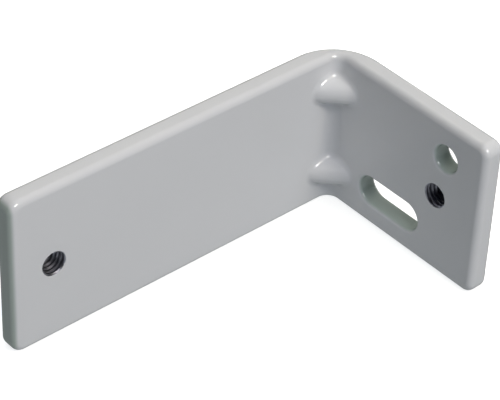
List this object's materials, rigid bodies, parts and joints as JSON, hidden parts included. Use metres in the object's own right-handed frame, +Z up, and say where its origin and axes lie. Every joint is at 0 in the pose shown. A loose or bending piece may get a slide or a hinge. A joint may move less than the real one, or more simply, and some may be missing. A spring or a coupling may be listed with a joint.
{
  "type": "spacer bracket",
  "caption": "Right-angled spacer bracket, bent from flat bar with stiffening beads in the bend, a slot, a screw hole and a threaded hole in each arm.",
  "frame": {"origin": "under the middle of the bracket's overall box, on the level of the bar's lower edge, on which it stands", "axes": "+X from the long arm's free end to the bend, +Y from the short arm's free end to the bend, +Z up across the bar's width"},
  "size_m": [0.071, 0.0384, 0.03],
  "materials": {
    "coated_steel": "glossy white powder coat on steel, with bare dark steel in the threads"
  },
  "bodies": {
    "root": {"bracket": "coated_steel"}
  },
  "joints": []
}
